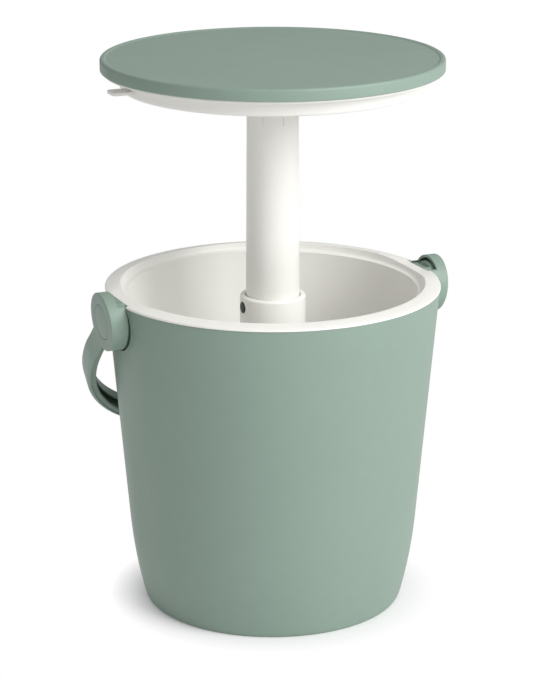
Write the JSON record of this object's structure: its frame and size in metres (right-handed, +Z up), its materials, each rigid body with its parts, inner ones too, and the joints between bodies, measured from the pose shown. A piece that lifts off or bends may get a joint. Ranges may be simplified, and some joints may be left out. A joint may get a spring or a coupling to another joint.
{
  "type": "ice bucket coffee table",
  "caption": "Tapered double-walled ice bucket with a swing bail and a round table top on a central column that slides up out of the ice space.",
  "frame": {"origin": "middle of the base, on the floor", "axes": "+Z up; +X along the line of the bail's pivots, toward the right-hand hub seen from the front; +Y to the back, where the bail hangs"},
  "size_m": [0.414, 0.3881, 0.6315],
  "materials": {
    "sage_plastic": "fine matte moulded sage green",
    "white_plastic": "smooth matte off-white",
    "dark_plastic": "satin dark grey",
    "steel": "plain zinc-plated"
  },
  "bodies": {
    "bucket": {"outer_shell": "sage_plastic", "inner_liner": "white_plastic", "column_sleeve": "white_plastic", "lock_collar": "white_plastic", "sleeve_screw_1": "steel", "sleeve_screw_2": "steel", "sleeve_screw_3": "steel", "pivot_washer_left": "steel", "pivot_screw_left": "steel", "pivot_washer_right": "steel", "pivot_screw_right": "steel"},
    "table": {"slide_tube": "white_plastic", "guide_bush": "white_plastic", "underside_pan": "white_plastic", "table_top": "sage_plastic", "pan_screw_1": "steel", "pan_screw_2": "steel", "pan_screw_3": "steel", "pan_screw_4": "steel"},
    "handle": {"handle_bail": "sage_plastic", "pivot_cap_right": "sage_plastic", "pivot_cap_left": "sage_plastic"},
    "button": {"release_button": "dark_plastic"}
  },
  "joints": [
    {"name": "table_lift", "type": "slide", "parent": "bucket", "child": "table", "axis": [0, 0, 1], "range_m": [-0.232, 0]},
    {"name": "release_button", "type": "slide", "parent": "bucket", "child": "button", "axis": [1, 0, 0], "range_m": [0, 0.0018], "stiffness_N_per_m": 800},
    {"name": "handle_swing", "type": "hinge", "parent": "bucket", "child": "handle", "pos_m": [0, 0, 0.3495], "axis": [1, 0, 0], "range_deg": [0, 105]}
  ]
}
